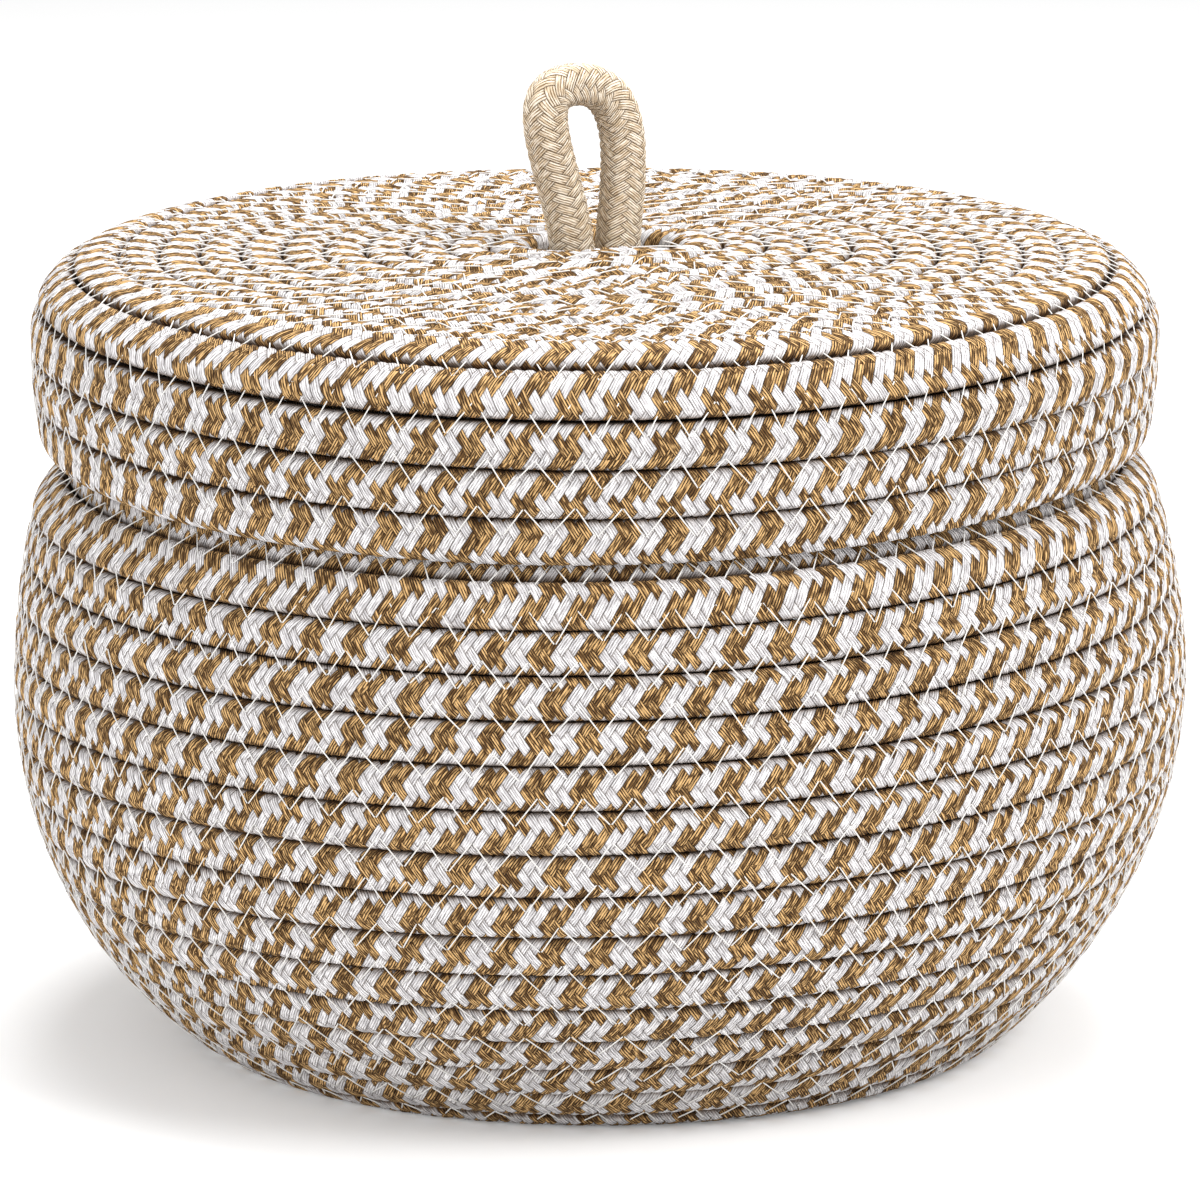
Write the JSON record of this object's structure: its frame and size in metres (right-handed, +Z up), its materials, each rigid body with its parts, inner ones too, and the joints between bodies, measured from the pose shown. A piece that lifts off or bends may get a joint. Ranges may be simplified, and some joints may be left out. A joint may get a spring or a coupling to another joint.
{
  "type": "knitting basket",
  "caption": "Round bellied storage basket of coiled braided cotton rope for yarn and knitting, with a cap lid that lifts off by a cord loop.",
  "frame": {"origin": "middle of the overall bounding box at floor level, on the basket's own axis", "axes": "+Z up, the pictured front faces -Y"},
  "size_m": [0.2778, 0.2821, 0.2336],
  "materials": {
    "base_rope": "matte",
    "lower_wall_rope": "matte",
    "middle_wall_rope": "matte",
    "upper_wall_rope": "matte",
    "neck_rope": "matte",
    "lid_top_rope": "matte",
    "lid_skirt_rope": "matte",
    "loop_cord": "matte",
    "knot_cord": "matte"
  },
  "bodies": {
    "basket": {"basket_base": "base_rope", "basket_wall_lower": "lower_wall_rope", "basket_wall_middle": "middle_wall_rope", "basket_wall_upper": "upper_wall_rope", "basket_neck": "neck_rope"},
    "lid": {"lid_top": "lid_top_rope", "lid_skirt": "lid_skirt_rope", "handle_loop": "loop_cord", "handle_knot": "knot_cord"}
  },
  "joints": [
    {"name": "lid_lift", "type": "slide", "parent": "basket", "child": "lid", "axis": [0, 0, 1], "range_m": [0, 0.15]}
  ]
}
